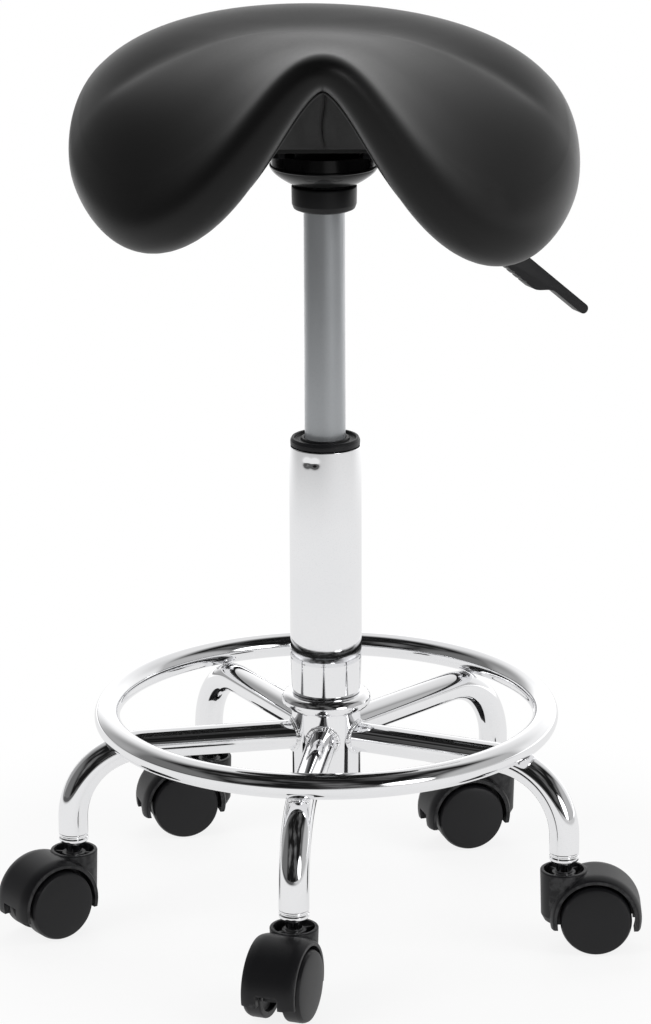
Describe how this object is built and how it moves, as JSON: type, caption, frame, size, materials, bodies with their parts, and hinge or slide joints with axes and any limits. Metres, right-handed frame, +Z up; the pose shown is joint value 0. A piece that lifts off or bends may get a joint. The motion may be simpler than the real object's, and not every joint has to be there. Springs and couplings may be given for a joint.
{
  "type": "saddle stool",
  "caption": "Height-adjustable saddle stool: arched padded seat with a lever, gas column, foot ring, and bent tube legs on swivelling twin-wheel casters.",
  "frame": {"origin": "point of the floor under the column's axis", "axes": "+Z up along the column, the saddle's nose towards -Y, the height lever on the +X side"},
  "size_m": [0.4431, 0.408, 0.6335],
  "materials": {
    "chrome": "polished chrome plate",
    "satin_steel": "satin hard chrome",
    "zinc_steel": "zinc plated",
    "black_paint": "satin powder coat",
    "black_nylon": "fine moulded texture",
    "gloss_black": "glossy",
    "leatherette": "satin leatherette over foam",
    "black_cloth": "woven synthetic sheet",
    "rubber": "matte",
    "plywood": "plain",
    "pan_plastic": "moulded"
  },
  "bodies": {
    "base": {"hub": "chrome", "outer_column": "chrome", "column_bush": "black_nylon", "foot_ring": "chrome", "bearing_lower_race": "zinc_steel", "leg_front": "chrome", "leg_front_right": "chrome", "leg_rear_right": "chrome", "leg_rear_left": "chrome", "leg_front_left": "chrome", "caster_stem_front": "chrome", "caster_stem_front_right": "chrome", "caster_stem_rear_right": "chrome", "caster_stem_rear_left": "chrome", "caster_stem_front_left": "chrome"},
    "rod": {"piston_rod": "satin_steel", "bearing_ball_cage": "zinc_steel", "bearing_upper_race": "zinc_steel", "rubber_bumper": "rubber", "retaining_clip": "zinc_steel"},
    "seat": {"gas_cylinder": "satin_steel", "socket_collar": "black_nylon", "mechanism_bowl": "gloss_black", "taper_socket": "black_paint", "lever_bracket": "black_paint", "lever_pivot_pin": "zinc_steel", "mounting_plate": "black_paint", "flange_screw_1": "zinc_steel", "flange_screw_2": "zinc_steel", "flange_screw_3": "zinc_steel", "flange_screw_4": "zinc_steel", "mounting_block": "plywood", "underside_cover": "black_cloth", "seat_shell": "pan_plastic", "seat_cushion": "leatherette"},
    "lever": {"lever_rod": "black_paint", "lever_handle": "black_nylon"},
    "valve": {"valve_pin": "zinc_steel"},
    "caster_front": {"caster_hood_front": "black_nylon", "caster_axle_front": "zinc_steel"},
    "wheel_left_front": {"wheel_left_front": "black_nylon"},
    "wheel_right_front": {"wheel_right_front": "black_nylon"},
    "caster_front_right": {"caster_hood_front_right": "black_nylon", "caster_axle_front_right": "zinc_steel"},
    "wheel_left_front_right": {"wheel_left_front_right": "black_nylon"},
    "wheel_right_front_right": {"wheel_right_front_right": "black_nylon"},
    "caster_rear_right": {"caster_hood_rear_right": "black_nylon", "caster_axle_rear_right": "zinc_steel"},
    "wheel_left_rear_right": {"wheel_left_rear_right": "black_nylon"},
    "wheel_right_rear_right": {"wheel_right_rear_right": "black_nylon"},
    "caster_rear_left": {"caster_hood_rear_left": "black_nylon", "caster_axle_rear_left": "zinc_steel"},
    "wheel_left_rear_left": {"wheel_left_rear_left": "black_nylon"},
    "wheel_right_rear_left": {"wheel_right_rear_left": "black_nylon"},
    "caster_front_left": {"caster_hood_front_left": "black_nylon", "caster_axle_front_left": "zinc_steel"},
    "wheel_left_front_left": {"wheel_left_front_left": "black_nylon"},
    "wheel_right_front_left": {"wheel_right_front_left": "black_nylon"}
  },
  "joints": [
    {"name": "seat_swivel", "type": "hinge", "parent": "base", "child": "rod", "pos_m": [0, 0, 0.11], "axis": [0, 0, 1], "continuous": true},
    {"name": "gas_lift", "type": "slide", "parent": "rod", "child": "seat", "axis": [0, 0, 1], "range_m": [-0.13, 0]},
    {"name": "lever_lift", "type": "hinge", "parent": "seat", "child": "lever", "pos_m": [0.01813, 0.00845, 0.5384], "axis": [0.4226, -0.9063, 0], "range_deg": [0, 6], "stiffness_Nm_per_rad": 1, "springref_deg": -5.73},
    {"name": "valve_press", "type": "slide", "parent": "seat", "child": "valve", "axis": [0, 0, -1], "range_m": [0, 0.003]},
    {"name": "caster_swivel_front", "type": "hinge", "parent": "base", "child": "caster_front", "pos_m": [-0.02182, -0.17767, 0.05], "axis": [0, 0, 1], "continuous": true},
    {"name": "wheel_left_front_spin", "type": "hinge", "parent": "caster_front", "child": "wheel_left_front", "pos_m": [-0.02934, -0.19834, 0.0245], "axis": [0.9397, -0.342, 0], "continuous": true},
    {"name": "wheel_right_front_spin", "type": "hinge", "parent": "caster_front", "child": "wheel_right_front", "pos_m": [-0.02934, -0.19834, 0.0245], "axis": [0.9397, -0.342, 0], "continuous": true},
    {"name": "caster_swivel_front_right", "type": "hinge", "parent": "base", "child": "caster_front_right", "pos_m": [0.16223, -0.07565, 0.05], "axis": [0, 0, 1], "continuous": true},
    {"name": "wheel_left_front_right_spin", "type": "hinge", "parent": "caster_front_right", "child": "wheel_left_front_right", "pos_m": [0.18422, -0.07642, 0.0245], "axis": [0.0349, 0.9994, 0], "continuous": true},
    {"name": "wheel_right_front_right_spin", "type": "hinge", "parent": "caster_front_right", "child": "wheel_right_front_right", "pos_m": [0.18422, -0.07642, 0.0245], "axis": [0.0349, 0.9994, 0], "continuous": true},
    {"name": "caster_swivel_rear_right", "type": "hinge", "parent": "base", "child": "caster_rear_right", "pos_m": [0.12208, 0.13091, 0.05], "axis": [0, 0, 1], "continuous": true},
    {"name": "wheel_left_rear_right_spin", "type": "hinge", "parent": "caster_rear_right", "child": "wheel_left_rear_right", "pos_m": [0.10093, 0.12485, 0.0245], "axis": [0.2756, -0.9613, 0], "continuous": true},
    {"name": "wheel_right_rear_right_spin", "type": "hinge", "parent": "caster_rear_right", "child": "wheel_right_rear_right", "pos_m": [0.10093, 0.12485, 0.0245], "axis": [0.2756, -0.9613, 0], "continuous": true},
    {"name": "caster_swivel_rear_left", "type": "hinge", "parent": "base", "child": "caster_rear_left", "pos_m": [-0.08678, 0.15656, 0.05], "axis": [0, 0, 1], "continuous": true},
    {"name": "wheel_left_rear_left_spin", "type": "hinge", "parent": "caster_rear_left", "child": "wheel_left_rear_left", "pos_m": [-0.10813, 0.15124, 0.0245], "axis": [0.2419, -0.9703, 0], "continuous": true},
    {"name": "wheel_right_rear_left_spin", "type": "hinge", "parent": "caster_rear_left", "child": "wheel_right_rear_left", "pos_m": [-0.10813, 0.15124, 0.0245], "axis": [0.2419, -0.9703, 0], "continuous": true},
    {"name": "caster_swivel_front_left", "type": "hinge", "parent": "base", "child": "caster_front_left", "pos_m": [-0.17571, -0.03415, 0.05], "axis": [0, 0, 1], "continuous": true},
    {"name": "wheel_left_front_left_spin", "type": "hinge", "parent": "caster_front_left", "child": "wheel_left_front_left", "pos_m": [-0.1934, -0.04724, 0.0245], "axis": [0.5948, -0.8039, 0], "continuous": true},
    {"name": "wheel_right_front_left_spin", "type": "hinge", "parent": "caster_front_left", "child": "wheel_right_front_left", "pos_m": [-0.1934, -0.04724, 0.0245], "axis": [0.5948, -0.8039, 0], "continuous": true}
  ],
  "couplings": [
    {"joint": "valve_press", "follows": "lever_lift", "m_per_rad": 0.02}
  ]
}
